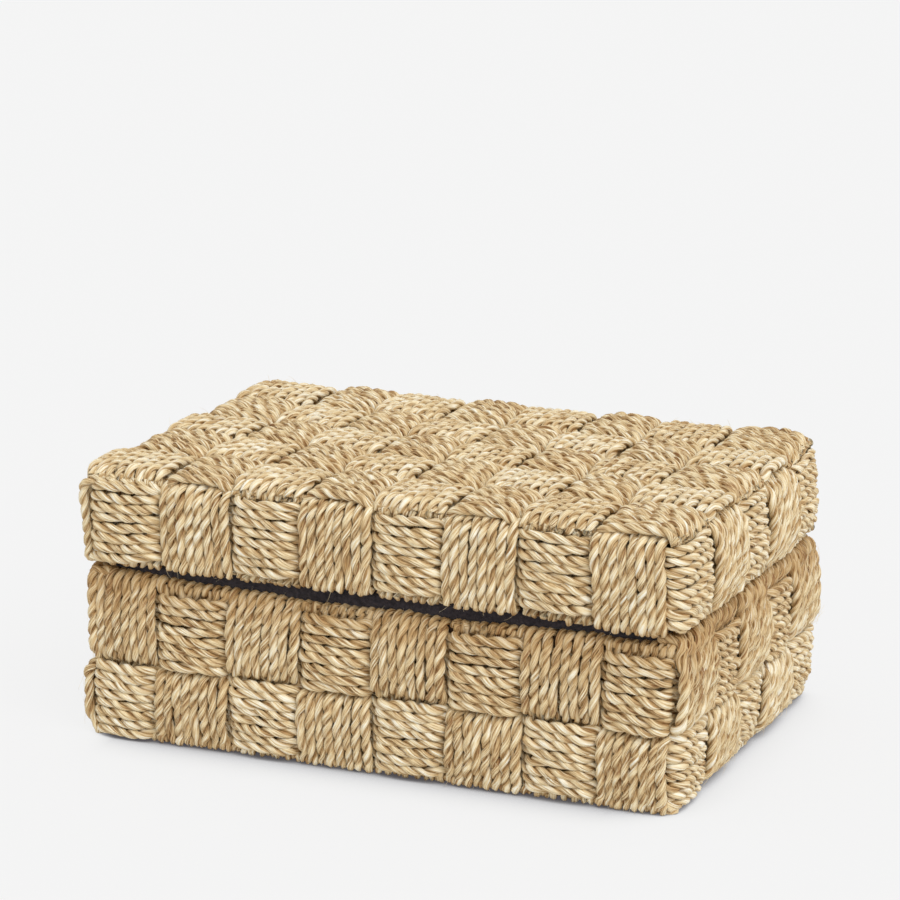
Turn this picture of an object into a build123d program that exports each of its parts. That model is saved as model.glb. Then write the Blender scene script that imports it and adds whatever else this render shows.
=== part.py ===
"""Ditty box: a board carcass with a felt lining, covered in flat bands of abaca rope.

The bands are woven over and under each other, one cell at a time. The deep lid is
hinged at the back. X is the width, Y the depth with the front at -Y, Z is up, and
the origin lies on the floor under the middle of the box.
"""

from build123d import *
import os

# ---------------------------------------------------------------- driving dimensions, mm
box_width = 305.0  # over the weave, along X
box_depth = 203.0  # over the weave, along Y
base_height = 85.0  # floor to the crest of the base's rope rim
lid_height = 47.4  # underside of the lid's rope rim to the top of the weave

columns = 8  # bands that run up the front, over the lid and down the back
rows = 5  # bands that run up the sides and over the lid
base_column_margin = 2.1  # the grid lines' even spacing ends this far inside the outer faces
lid_column_margin = 8.0
row_margin = 6.0
base_column_inset = 5.0  # from the outer corner to the outermost band
base_row_inset = 11.0
lid_inset = 8.0

rope_diameter = 4.6  # thickness of one flat band of parallel ropes
weave_gap = 0.1  # air between bands that cross, and between bands and boards
board_thickness = 6.0
lining_thickness = 1.5
lining_gap = 0.1  # glue line between board and felt
rim_flange_thickness = 1.0  # felt folded out over the base's rim

lower_hoop_bottom = 3.4  # rope turns seen under the lowest hoop
hoop_split = 37.8  # height at which the base's two hoops meet
rim_wrap = 11.0  # rope seen above the upper hoop, wrapping over the rim
lid_rim_show = 3.4  # rope turns seen under the lid's hoop
lid_edge_wrap = 7.0  # rope seen above the lid's hoop, folding over the top
underside_reach = 15.0  # how far the ropes are turned in under the floor
front_sag = 4.5  # how far the front rim bows down at its lowest point
front_sag_column = 3  # grid line, counted from the left, where that point lies

base_rim_radius = 9.0
lid_rim_radius = 6.0
lid_back_rim_radius = 10.0  # larger, to clear the hinge knuckles
fold_radius = 8.0
corner_radius = 9.0

seam_clearance = 0.3  # closed lid above the felt on the base's rim

hinge_length = 30.0
hinge_spacing = 150.0  # between the middles of the two hinges
hinge_inset = 3.0  # hinge axis inside the back face
knuckle_radius = 2.0
pin_radius = 1.0
pin_clearance = 0.05
leaf_thickness = 0.8
leaf_clearance = 0.1
knuckle_gap = 0.2
screw_spacing = 18.0
screw_radius = 1.2
screw_head_radius = 2.1
screw_length = 12.0
screw_clearance = 0.05

# ---------------------------------------------------------------- worked out from these
half_width = box_width / 2
half_depth = box_depth / 2
inner_level = rope_diameter + weave_gap
skin = 2 * rope_diameter + weave_gap
board_face = skin + weave_gap
board_back = board_face + board_thickness
lining_face = board_back + lining_gap
inside_face = lining_face + lining_thickness

rim_board_top = base_height - inner_level
flange_top = base_height + rim_flange_thickness
lid_bottom = flange_top + seam_clearance
box_height = lid_bottom + lid_height
upper_hoop_top = base_height - rim_wrap
lid_hoop_bottom = lid_bottom + lid_rim_show
lid_hoop_top = box_height - lid_edge_wrap
floor_bottom = inner_level
floor_top = floor_bottom + board_thickness
lid_panel_top = box_height - board_face
lid_panel_bottom = lid_panel_top - board_thickness
lid_rail_bottom = lid_bottom + inner_level
flange_edge = board_face + weave_gap

hinge_y = half_depth - hinge_inset
hinge_z = (flange_top + lid_bottom) / 2
hinge_middles = [-hinge_spacing / 2, hinge_spacing / 2]
base_leaf_bottom = base_height + leaf_clearance / 2
base_leaf_top = base_leaf_bottom + leaf_thickness
lid_leaf_bottom = lid_bottom + leaf_clearance
lid_leaf_top = lid_leaf_bottom + leaf_thickness
leaf_edge = half_depth - board_back + leaf_clearance
bore_radius = pin_radius + pin_clearance
screw_y = half_depth - board_face - board_thickness / 2
screw_offsets = (-screw_spacing / 2, screw_spacing / 2)
screw_places = [(x + offset, screw_y) for x in hinge_middles for offset in screw_offsets]
hole_radius = screw_radius + screw_clearance
sink_radius = screw_head_radius + screw_clearance
pilot_depth = screw_length + screw_clearance


def grid(half_size, count, margin, inset):
    """Grid lines between bands: even inside, and an inset in from each corner."""
    pitch = 2 * (half_size - margin) / count
    inner = [(i - count / 2) * pitch for i in range(1, count)]
    edge = half_size - inset
    return [-edge] + inner + [edge]


base_columns = grid(half_width, columns, base_column_margin, base_column_inset)
base_rows = grid(half_depth, rows, row_margin, base_row_inset)
lid_columns = grid(half_width, columns, lid_column_margin, lid_inset)
lid_rows = grid(half_depth, rows, row_margin, lid_inset)
low_point = base_columns[front_sag_column]

# The four side faces in the order in which a hoop runs round them. Each has a plane
# that looks outward with its local y up, its half length, its grid lines and the number
# of cells that the hoop has passed before it.
front = Plane(origin=(0, -half_depth, 0), x_dir=(1, 0, 0), z_dir=(0, -1, 0))
right = Plane(origin=(half_width, 0, 0), x_dir=(0, 1, 0), z_dir=(1, 0, 0))
back = Plane(origin=(0, half_depth, 0), x_dir=(-1, 0, 0), z_dir=(0, 1, 0))
left = Plane(origin=(-half_width, 0, 0), x_dir=(0, -1, 0), z_dir=(-1, 0, 0))
top = Plane(origin=(0, 0, box_height), x_dir=(1, 0, 0), z_dir=(0, 0, 1))


def side_faces(column_lines, row_lines):
    """The side faces of the base or the lid."""
    return {
        "front": (front, half_width, column_lines, 0),
        "right": (right, half_depth, row_lines, columns),
        "back": (back, half_width, column_lines, columns + rows),
        "left": (left, half_depth, row_lines, 2 * columns + rows),
    }


base_sides = side_faces(base_columns, base_rows)
lid_sides = side_faces(lid_columns, lid_rows)

UPRIGHT = (Align.CENTER, Align.CENTER, Align.MIN)
parts = {}


def finish(name, part):
    """Label a finished piece and keep it for export."""
    part.label = name
    parts[name] = part


def wide(lines, i):
    """Extent of a band where it lies on top: its whole cell."""
    return lines[i] + weave_gap / 2, lines[i + 1] - weave_gap / 2


def spread(lines, i, half_size):
    """Extent of a band clear of the hoops, where the outermost ones fan out to the corner."""
    low, high = wide(lines, i)
    reach = half_size - inner_level
    if i == 0:
        low = -reach
    if i + 2 == len(lines):
        high = reach
    return low, high


def narrow(lines, i):
    """Extent of a band where it lies underneath: drawn together between the crossing band's turns."""
    return lines[i] + inner_level, lines[i + 1] - inner_level


def inside(extent, limit):
    """An extent cut off at plus and minus a limit."""
    return max(extent[0], -limit), min(extent[1], limit)


def hoop_on_top(first_cell, i, parity):
    """Whether a hoop passes over the upright in cell i of a side."""
    return (first_cell + i + parity) % 2 == 0


def slab(plane, across, low, high, near, far):
    """A block on a face: its extent across, its lower and upper edges, and its depths under the face.

    An edge is a height, or a pair of heights for a sloping edge.
    """
    low_left, low_right = low if isinstance(low, tuple) else (low, low)
    high_left, high_right = high if isinstance(high, tuple) else (high, high)
    with BuildSketch(plane.offset(-near)) as outline:
        Polygon(
            (across[0], low_left),
            (across[1], low_right),
            (across[1], high_right),
            (across[0], high_left),
            align=None,
        )
    extrude(outline.sketch, amount=near - far)


def sag(x):
    """How far the front rim lies below the crest: two straight slopes down to the low point."""
    edge = half_width - inner_level
    if x < low_point:
        edge = -edge
    return front_sag * (edge - x) / (edge - low_point)


def crest(side, across, drop=0.0):
    """Heights of the base's rim at both ends of an extent, less a drop."""
    height = base_height - drop
    if side != "front":
        return height, height
    return height - sag(across[0]), height - sag(across[1])


def cut_block(x_range, y_range, z_range):
    """Cut a block out of the piece being built."""
    with Locations((x_range[0], y_range[0], z_range[0])):
        Box(
            x_range[1] - x_range[0],
            y_range[1] - y_range[0],
            z_range[1] - z_range[0],
            align=(Align.MIN, Align.MIN, Align.MIN),
            mode=Mode.SUBTRACT,
        )


def cut_screw_holes(x_range, low, high):
    """Drill the back rim for each hinge screw that reaches into a range of X."""
    start, end = x_range[0] - hole_radius, x_range[1] + hole_radius
    places = [(x, y, low) for x, y in screw_places if start < x < end]
    if places:
        with Locations(*places):
            Cylinder(hole_radius, high - low, align=UPRIGHT, mode=Mode.SUBTRACT)


def round_off(edge_list, radius):
    """Round the chosen edges of the piece being built."""
    if edge_list:
        fillet(edge_list, radius)


def edges_on(plane, depth, height):
    """Straight edges that run across a side face at a depth under it and near a height."""
    found = []
    for edge in edges().filter_by(GeomType.LINE):
        middle = plane.to_local_coords(edge.center())
        along = plane.to_local_coords(edge @ 1) - plane.to_local_coords(edge @ 0)
        if abs(middle.Z + depth) < 0.01 and abs(along.X) > 1 and abs(along.Z) < 0.01:
            if abs(middle.Y - height) < 0.01:
                found.append(edge)
    return found


def trim_corners():
    """Keep the piece being built inside the box's rounded upright corners."""
    with BuildSketch() as outline:
        RectangleRounded(box_width, box_depth, corner_radius)
    extrude(outline.sketch, amount=box_height, mode=Mode.INTERSECT)


# ---------------------------------------------------------------- base: ropes
def base_upright(side, i):
    """One flat band on a side of the base, turned over the rim and in under the floor."""
    plane, half_size, lines, first_cell = base_sides[side]
    across = wide(lines, i)
    fanned = spread(lines, i, half_size)
    drawn_in = narrow(lines, i)
    along_x = side in ("front", "back")
    rim_limit = half_width - board_back - weave_gap if along_x else half_depth - flange_edge
    foot_limit = half_width - underside_reach - weave_gap if along_x else half_depth - flange_edge
    rim = inside(fanned, rim_limit)
    foot = inside(across, foot_limit)
    riser = inside(across, half_size - skin - weave_gap)
    below = hoop_split - weave_gap / 2
    above = hoop_split + weave_gap / 2
    rim_foot = upper_hoop_top + weave_gap
    with BuildPart() as upright:
        if hoop_on_top(first_cell, i, 0):
            # Under the lower hoop, then over the upper one.
            slab(plane, drawn_in, 0, above, inner_level, skin)
            slab(plane, drawn_in, 0, rope_diameter, skin, board_face)
            slab(plane, foot, 0, rope_diameter, board_face, underside_reach)
            slab(plane, across, above, rim_foot, 0, rope_diameter)
            slab(plane, fanned, rim_foot, crest(side, fanned), 0, rope_diameter)
            slab(plane, riser, above, above + rope_diameter, 0, skin)
            slab(plane, rim, crest(side, rim, rope_diameter), crest(side, rim), 0, board_back)
            outer, turned = 0, inner_level
        else:
            # Over the lower hoop, then under the upper one.
            slab(plane, across, 0, below, 0, rope_diameter)
            slab(plane, riser, below - rope_diameter, below, 0, skin)
            slab(plane, foot, 0, rope_diameter, 0, underside_reach)
            slab(plane, drawn_in, below, rim_foot, inner_level, skin)
            slab(plane, fanned, rim_foot, crest(side, fanned), inner_level, skin)
            slab(plane, rim, crest(side, rim, rope_diameter), crest(side, rim), inner_level, board_back)
            outer, turned = inner_level, 0
        rim_height = sum(crest(side, fanned)) / 2
        round_off(edges_on(plane, outer, rim_height), base_rim_radius)
        round_off(edges_on(plane, turned, 0), fold_radius)
        if side == "back":
            cut_screw_holes((-across[1], -across[0]), base_height - rope_diameter, base_height)
        trim_corners()
    return upright.part


def hoop(faces, low, high, drawn_low, drawn_high, parity):
    """A flat band that runs round all four sides, over and under the uprights.

    Where it lies on top beside a corner, it carries on round the corner as far as the
    outermost upright of the next side.
    """
    order = list(faces.values())
    with BuildPart() as band:
        for side_number, (plane, half_size, lines, first_cell) in enumerate(order):
            last = len(lines) - 2
            for i in range(len(lines) - 1):
                if not hoop_on_top(first_cell, i, parity):
                    under = lines[i] - weave_gap, lines[i + 1] + weave_gap
                    slab(plane, under, drawn_low, drawn_high, inner_level, skin)
                    continue
                start, end = wide(lines, i)
                if i > 0:
                    slab(plane, (start, start + rope_diameter), low, high, 0, skin)
                else:
                    start = -half_size
                    beside, beside_half, beside_lines, _ = order[side_number - 1]
                    turn = beside_lines[-1] + weave_gap / 2
                    slab(beside, (turn, beside_half), low, high, 0, rope_diameter)
                    slab(beside, (turn, turn + rope_diameter), low, high, 0, skin)
                if i < last:
                    slab(plane, (end - rope_diameter, end), low, high, 0, skin)
                else:
                    end = half_size
                    beside, beside_half, beside_lines, _ = order[(side_number + 1) % len(order)]
                    turn = beside_lines[0] - weave_gap / 2
                    slab(beside, (-beside_half, turn), low, high, 0, rope_diameter)
                    slab(beside, (turn - rope_diameter, turn), low, high, 0, skin)
                slab(plane, (start, end), low, high, 0, rope_diameter)
        trim_corners()
    return band.part


# ---------------------------------------------------------------- lid: ropes
def lid_leg(side, i):
    """The end of a lid band that hangs down a side and is turned in under the rail."""
    plane, half_size, lines, first_cell = lid_sides[side]
    across = wide(lines, i)
    fanned = spread(lines, i, half_size)
    drawn_in = narrow(lines, i)
    along_x = side in ("front", "back")
    rim = inside(across, half_width - board_back - weave_gap if along_x else half_depth - flange_edge)
    rim_top = lid_bottom + rope_diameter
    above_hoop = lid_hoop_top + weave_gap
    if hoop_on_top(first_cell, i, 0):
        slab(plane, drawn_in, lid_bottom, above_hoop, inner_level, skin)
        slab(plane, fanned, above_hoop, box_height, inner_level, skin)
        slab(plane, drawn_in, lid_bottom, rim_top, skin, board_face)
        slab(plane, rim, lid_bottom, rim_top, board_face, board_back)
    else:
        slab(plane, across, lid_bottom, above_hoop, 0, rope_diameter)
        slab(plane, fanned, above_hoop, box_height - inner_level, 0, rope_diameter)
        slab(plane, rim, lid_bottom, rim_top, 0, board_back)


def round_leg(side, i):
    """Round the rim and the top fold of a lid band's leg."""
    plane, _, _, first_cell = lid_sides[side]
    if hoop_on_top(first_cell, i, 0):
        depth, fold_height = inner_level, box_height
    else:
        depth, fold_height = 0, box_height - inner_level
    rim_radius = lid_back_rim_radius if side == "back" else lid_rim_radius
    round_off(edges_on(plane, depth, lid_bottom), rim_radius)
    round_off(edges_on(plane, depth, fold_height), fold_radius)


def lid_column(k):
    """A band that goes up the front, back over the lid's top and down behind."""
    across = spread(lid_columns, k, half_width)
    drawn_in = narrow(lid_columns, k)
    with BuildPart() as band:
        lid_leg("front", k)
        lid_leg("back", columns - 1 - k)
        for j in range(rows):
            start, end = spread(lid_rows, j, half_depth)
            if (k + j) % 2 == 0:
                slab(top, across, start, end, 0, rope_diameter)
                if j > 0:
                    slab(top, across, start, start + rope_diameter, 0, skin)
                if j < rows - 1:
                    slab(top, across, end - rope_diameter, end, 0, skin)
            else:
                start = -half_depth if j == 0 else start - weave_gap
                end = half_depth if j == rows - 1 else end + weave_gap
                slab(top, drawn_in, start, end, inner_level, skin)
        round_leg("front", k)
        round_leg("back", columns - 1 - k)
        for middle in hinge_middles:
            reach = hinge_length / 2 + leaf_clearance
            if middle - reach < across[1] and middle + reach > across[0]:
                recess_top = lid_leaf_top + leaf_clearance
                cut_block(
                    (middle - reach, middle + reach),
                    (leaf_edge - leaf_clearance, half_depth),
                    (lid_bottom, recess_top),
                )
        cut_screw_holes(across, lid_bottom, lid_bottom + rope_diameter)
        trim_corners()
    return band.part


def lid_row(j):
    """A band that goes up the left side, across the lid's top and down the right."""
    across = spread(lid_rows, j, half_depth)
    drawn_in = narrow(lid_rows, j)
    with BuildPart() as band:
        lid_leg("right", j)
        lid_leg("left", rows - 1 - j)
        for k in range(columns):
            start, end = spread(lid_columns, k, half_width)
            if (k + j) % 2 == 1:
                slab(top, (start, end), *across, 0, rope_diameter)
                if k > 0:
                    slab(top, (start, start + rope_diameter), *across, 0, skin)
                if k < columns - 1:
                    slab(top, (end - rope_diameter, end), *across, 0, skin)
            else:
                start = -half_width if k == 0 else start - weave_gap
                end = half_width if k == columns - 1 else end + weave_gap
                slab(top, (start, end), *drawn_in, inner_level, skin)
        round_leg("right", j)
        round_leg("left", rows - 1 - j)
        trim_corners()
    return band.part


# ---------------------------------------------------------------- boards
board_width = box_width - 2 * board_face
board_depth = box_depth - 2 * board_face


def side_board(along_x, sign, low, high):
    """A plain board on one side: the front and back ones run the full width."""
    if along_x:
        size = (board_width, board_thickness)
        middle = (0, sign * (board_depth - board_thickness) / 2, low)
    else:
        size = (board_thickness, board_depth - 2 * board_thickness)
        middle = (sign * (board_width - board_thickness) / 2, 0, low)
    with Locations(middle):
        Box(*size, high - low, align=UPRIGHT)


def flat_board(low):
    """A board that lies flat, as large as the carcass."""
    with Locations((0, 0, low)):
        Box(board_width, board_depth, board_thickness, align=UPRIGHT)


with BuildPart() as base_floor_board:
    flat_board(floor_bottom)
finish("base_floor_board", base_floor_board.part)

with BuildPart() as base_front_board:
    ends = (-board_width / 2, board_width / 2)
    with BuildSketch(front.offset(-board_face)) as bowed:
        Polygon(
            (ends[0], floor_top),
            (ends[1], floor_top),
            (ends[1], rim_board_top - sag(ends[1])),
            (low_point, rim_board_top - front_sag),
            (ends[0], rim_board_top - sag(ends[0])),
            align=None,
        )
    extrude(bowed.sketch, amount=-board_thickness)
finish("base_front_board", base_front_board.part)

with BuildPart() as base_back_board:
    side_board(True, 1, floor_top, rim_board_top)
    cut_screw_holes((-half_width, half_width), base_leaf_top - pilot_depth, rim_board_top)
finish("base_back_board", base_back_board.part)

with BuildPart() as lid_back_board:
    side_board(True, 1, lid_rail_bottom, lid_panel_bottom)
    cut_screw_holes((-half_width, half_width), lid_rail_bottom, lid_leaf_bottom + pilot_depth)
finish("lid_back_board", lid_back_board.part)

with BuildPart() as lid_front_board:
    side_board(True, -1, lid_rail_bottom, lid_panel_bottom)
finish("lid_front_board", lid_front_board.part)

for name, sign in (("left", -1), ("right", 1)):
    with BuildPart() as base_side_board:
        side_board(False, sign, floor_top, rim_board_top)
    finish(f"base_{name}_board", base_side_board.part)
    with BuildPart() as lid_side_board:
        side_board(False, sign, lid_rail_bottom, lid_panel_bottom)
    finish(f"lid_{name}_board", lid_side_board.part)

with BuildPart() as lid_top_board:
    flat_board(lid_panel_bottom)
finish("lid_top_board", lid_top_board.part)

with BuildPart() as underside_panel:
    margin = underside_reach + lining_gap
    Box(box_width - 2 * margin, box_depth - 2 * margin, rope_diameter, align=UPRIGHT)
finish("underside_panel", underside_panel.part)

# ---------------------------------------------------------------- felt linings
lining_size = (box_width - 2 * lining_face, box_depth - 2 * lining_face)
inside_size = (box_width - 2 * inside_face, box_depth - 2 * inside_face)
flange_size = (box_width - 2 * flange_edge, box_depth - 2 * flange_edge)

with BuildPart() as base_lining:
    lining_floor = floor_top + lining_gap
    with Locations((0, 0, lining_floor)):
        Box(*lining_size, flange_top - lining_floor, align=UPRIGHT)
    with Locations((0, 0, base_height)):
        Box(*flange_size, rim_flange_thickness, align=UPRIGHT)
    with Locations((0, 0, lining_floor + lining_thickness)):
        Box(*inside_size, box_height, align=UPRIGHT, mode=Mode.SUBTRACT)
    # The felt on the front rim follows the bow of the rim.
    flange_depth = inside_face - flange_edge
    cut_block(
        (-inside_size[0] / 2, inside_size[0] / 2),
        (-half_depth, -inside_size[1] / 2),
        (base_height - front_sag, box_height),
    )
    inner_ends = (-inside_size[0] / 2, inside_size[0] / 2)
    with BuildSketch(front.offset(-flange_edge)) as bowed_flange:
        Polygon(
            (inner_ends[0], base_height - sag(inner_ends[0])),
            (low_point, base_height - front_sag),
            (inner_ends[1], base_height - sag(inner_ends[1])),
            (inner_ends[1], flange_top - sag(inner_ends[1])),
            (low_point, flange_top - front_sag),
            (inner_ends[0], flange_top - sag(inner_ends[0])),
            align=None,
        )
    extrude(bowed_flange.sketch, amount=-flange_depth)
    with BuildSketch(front.offset(-lining_face)) as bowed_wall:
        Polygon(
            (inner_ends[0], base_height - 2 * front_sag),
            (inner_ends[1], base_height - 2 * front_sag),
            (inner_ends[1], base_height - sag(inner_ends[1])),
            (low_point, base_height - front_sag),
            (inner_ends[0], base_height - sag(inner_ends[0])),
            align=None,
        )
    extrude(bowed_wall.sketch, amount=-lining_thickness)
    for middle in hinge_middles:
        reach = hinge_length / 2 + leaf_clearance
        cut_block(
            (middle - reach, middle + reach),
            (leaf_edge - leaf_clearance, half_depth),
            (base_height, flange_top),
        )
finish("base_lining", base_lining.part)

with BuildPart() as lid_lining:
    lining_ceiling = lid_panel_bottom - lining_gap
    with Locations((0, 0, lid_bottom)):
        Box(*lining_size, lining_ceiling - lid_bottom, align=UPRIGHT)
        Box(
            *inside_size,
            lining_ceiling - lining_thickness - lid_bottom,
            align=UPRIGHT,
            mode=Mode.SUBTRACT,
        )
finish("lid_lining", lid_lining.part)


# ---------------------------------------------------------------- hinges
def knuckle_span(middle, place):
    """Extent along X of one of a hinge's three knuckles: -1 and 1 are outer, 0 is the middle one."""
    length = hinge_length / 3
    start = middle + (place - 0.5) * length + (knuckle_gap / 2 if place > -1 else 0)
    end = middle + (place + 0.5) * length - (knuckle_gap / 2 if place < 1 else 0)
    return start, end


def hinge_leaf(middle, bottom, own, others, head_up):
    """A leaf with its own knuckles, notched for the other leaf's, bored and countersunk."""
    with Locations((middle, leaf_edge, bottom)):
        Box(
            hinge_length,
            hinge_y - leaf_edge,
            leaf_thickness,
            align=(Align.CENTER, Align.MIN, Align.MIN),
        )
    notch_start = hinge_y - knuckle_radius - knuckle_gap
    for place in others:
        start, end = knuckle_span(middle, place)
        cut_block(
            (start - knuckle_gap, end + knuckle_gap),
            (notch_start, hinge_y),
            (bottom, bottom + leaf_thickness),
        )
    for place in own:
        start, end = knuckle_span(middle, place)
        with Locations(Location(((start + end) / 2, hinge_y, hinge_z), (0, 90, 0))):
            Cylinder(knuckle_radius, end - start)
    with Locations(Location((middle, hinge_y, hinge_z), (0, 90, 0))):
        Cylinder(bore_radius, hinge_length, mode=Mode.SUBTRACT)
    radii = (hole_radius, sink_radius) if head_up else (sink_radius, hole_radius)
    with Locations(*[(middle + offset, screw_y, bottom) for offset in screw_offsets]):
        Cone(*radii, leaf_thickness, align=UPRIGHT, mode=Mode.SUBTRACT)


with BuildPart() as hinge_base_leaves:
    for middle in hinge_middles:
        hinge_leaf(middle, base_leaf_bottom, (-1, 1), (0,), True)
finish("hinge_base_leaves", hinge_base_leaves.part)

with BuildPart() as hinge_lid_leaves:
    for middle in hinge_middles:
        hinge_leaf(middle, lid_leaf_bottom, (0,), (-1, 1), False)
finish("hinge_lid_leaves", hinge_lid_leaves.part)

with BuildPart() as hinge_pins:
    with Locations(*[Location((x, hinge_y, hinge_z), (0, 90, 0)) for x in hinge_middles]):
        Cylinder(pin_radius, hinge_length)
finish("hinge_pins", hinge_pins.part)

shank_length = screw_length - leaf_thickness
with BuildPart() as base_hinge_screws:
    with Locations(*[(x, y, base_leaf_bottom) for x, y in screw_places]):
        Cone(screw_radius, screw_head_radius, leaf_thickness, align=UPRIGHT)
    with Locations(*[(x, y, base_leaf_bottom - shank_length) for x, y in screw_places]):
        Cylinder(screw_radius, shank_length, align=UPRIGHT)
finish("base_hinge_screws", base_hinge_screws.part)

with BuildPart() as lid_hinge_screws:
    with Locations(*[(x, y, lid_leaf_bottom) for x, y in screw_places]):
        Cone(screw_head_radius, screw_radius, leaf_thickness, align=UPRIGHT)
    with Locations(*[(x, y, lid_leaf_top) for x, y in screw_places]):
        Cylinder(screw_radius, shank_length, align=UPRIGHT)
finish("lid_hinge_screws", lid_hinge_screws.part)

# ---------------------------------------------------------------- woven bands
for side, (_, _, lines, _) in base_sides.items():
    for i in range(len(lines) - 1):
        finish(f"base_{side}_upright_{i + 1}", base_upright(side, i))

for k in range(columns):
    finish(f"lid_column_{k + 1}", lid_column(k))

for j in range(rows):
    finish(f"lid_row_{j + 1}", lid_row(j))

below_split = hoop_split - weave_gap / 2
above_split = hoop_split + weave_gap / 2
finish(
    "base_lower_hoop",
    hoop(base_sides, lower_hoop_bottom, below_split, inner_level, below_split - inner_level, 0),
)
finish(
    "base_upper_hoop",
    hoop(base_sides, above_split, upper_hoop_top, above_split + inner_level, upper_hoop_top, 1),
)
finish(
    "lid_hoop",
    hoop(lid_sides, lid_hoop_bottom, lid_hoop_top, lid_rail_bottom, lid_panel_top, 0),
)

os.makedirs("parts", exist_ok=True)
for name, part in parts.items():
    export_step(part, f"parts/{name}.step")
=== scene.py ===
"""Ditty box: twisted abaca ropes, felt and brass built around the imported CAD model."""

import math

import bpy
import numpy as np
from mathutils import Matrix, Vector


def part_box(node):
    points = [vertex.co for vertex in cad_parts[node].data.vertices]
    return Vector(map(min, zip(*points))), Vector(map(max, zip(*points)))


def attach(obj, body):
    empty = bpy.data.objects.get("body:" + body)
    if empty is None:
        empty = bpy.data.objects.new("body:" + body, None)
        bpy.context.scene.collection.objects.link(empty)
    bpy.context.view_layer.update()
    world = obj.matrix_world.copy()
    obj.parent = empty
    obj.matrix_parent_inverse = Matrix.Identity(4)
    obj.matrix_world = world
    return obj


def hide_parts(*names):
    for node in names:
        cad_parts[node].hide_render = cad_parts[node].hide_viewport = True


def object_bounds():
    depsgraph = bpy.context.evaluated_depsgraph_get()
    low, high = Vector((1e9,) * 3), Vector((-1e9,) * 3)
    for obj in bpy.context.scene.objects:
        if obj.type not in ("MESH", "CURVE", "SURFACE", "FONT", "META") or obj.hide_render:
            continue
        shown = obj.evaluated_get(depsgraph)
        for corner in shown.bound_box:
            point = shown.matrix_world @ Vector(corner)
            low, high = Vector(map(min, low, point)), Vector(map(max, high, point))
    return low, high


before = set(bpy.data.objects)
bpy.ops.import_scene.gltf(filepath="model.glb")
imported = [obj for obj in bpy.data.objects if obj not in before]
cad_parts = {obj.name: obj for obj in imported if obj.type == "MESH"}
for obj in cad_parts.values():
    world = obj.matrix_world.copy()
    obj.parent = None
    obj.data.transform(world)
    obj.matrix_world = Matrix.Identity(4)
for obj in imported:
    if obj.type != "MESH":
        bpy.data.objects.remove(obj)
cad_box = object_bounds()

# ---------------- sizes, mm
MM = 0.001
SEED = 11


def span(node, axis):
    """Lowest and highest place of a CAD node along an axis."""
    low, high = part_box(node)
    return low[axis] / MM, high[axis] / MM


def cells(name, count, axis, limit):
    """Extents of neighbouring bands, with the outermost ones cut off at a limit."""
    spans = [span(f"{name}_{i + 1}", axis) for i in range(count)]
    inner = [(a[1] + b[0]) / 2 for a, b in zip(spans, spans[1:])]
    lines = [-limit, *inner, limit]
    return list(zip(lines, lines[1:]))


half_width, half_depth, box_top = (c / MM for c in cad_box[1])
column_count, row_count = 8, 5
grid_inset = 8.0  # from an outer corner to the outermost band
lid_columns = cells("lid_column", column_count, 0, half_width - grid_inset)
lid_rows = cells("lid_row", row_count, 1, half_depth - grid_inset)
base_columns = cells("base_front_upright", column_count, 0, half_width - grid_inset)
base_rows = cells("base_right_upright", row_count, 1, half_depth - grid_inset)
lid_bottom = span("lid_column_1", 2)[0]
base_crest = span("base_back_upright_1", 2)[1]
lid_hoop = span("lid_hoop", 2)
lower_hoop = span("base_lower_hoop", 2)
upper_hoop = span("base_upper_hoop", 2)
base_felt = span("base_lining", 2)
lid_felt = span("lid_lining", 2)
panel_felt = span("underside_panel", 2)

# How the ropes of a band lie.
rope_pitch = 4.75  # across a band where it lies on top
least_strands, under_spacing = 8, 3.95  # and of that many ropes where it lies underneath
floor_level = 1.8  # height of a rope's middle on the floor
floor_touch = 0.02  # where its surface is pressed flat
on_level, under_level = 2.3, 7.0  # depth of a rope's middle on top and underneath
dive_offset = 2.4  # how far before a crossing band a rope is halfway down
dive_half = 2.9
fan_length = 11.0  # stretch over which a band draws together
pillow = 1.7  # how far the middle of a cell stands out
side_pillows = {"left": 0.9, "right": 2.5}  # the same for the short sides' uprights
pillow_ends, end_width = 0.7, 0.22  # how far its ends sink in, over which share of half a cell
side_sink = 0.7  # extra depth of a band's outermost ropes
side_hoop_sink = 0.7  # and of the hoops on the short sides
bend_softness = 1.8  # rounding of a centre line's corners
covered = (5.0, 2.0)  # how far in from a crossing band's edge a rope is hidden, and how softly

# How they turn in.
turned_in = 15.2  # how far the ropes reach inwards at the rims and under the floor
stub_depth, stub_rise = 2.9, 3.6  # where a rope that starts under a hoop turns up
foot_bend = 0.4  # size of the bend at the front's and the lid's lower edges
side_foot_bend = 4.4  # and at the foot of the short sides
side_foot_rise = 1.0
side_foot_start = (22, 20)  # where that starts behind the front, and how softly
side_tuck = (2.2, 2.4)  # how far the lowest hoop rope rises and sinks in there
tuck_start = (30, 20)
crest_bend = 3.4  # the bend at the base's rim
hidden_bend, hidden_crest = 1.8, 4.4  # the same and the depth for ropes from under a hoop
hinge_bend = 5.0  # the bend at the back, clear of the hinge knuckles
top_bend = 4.2
come_out = (2.0, 2.2)  # below and above the hoop's edge, where a rope leaves the lid's hoop
fold_sink = 1.2  # how much deeper such a rope's fold is
hem_rise = 0.6  # height of the ropes behind a low hem
hem_slope = (6.6, 3.4)  # depths between which they come down to it

# Margins from a bend to where a stretch of a centre line starts or ends.
past_start, past_foot, past_hem, past_fold, past_cell = 1.0, 2.0, 1.5, 5.0, 20.0
before_rim, before_mitre = 1.0, 4.0
quiet_margin, calm_length = 2.0, 4  # beyond these the ropes keep to the corner points

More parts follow.
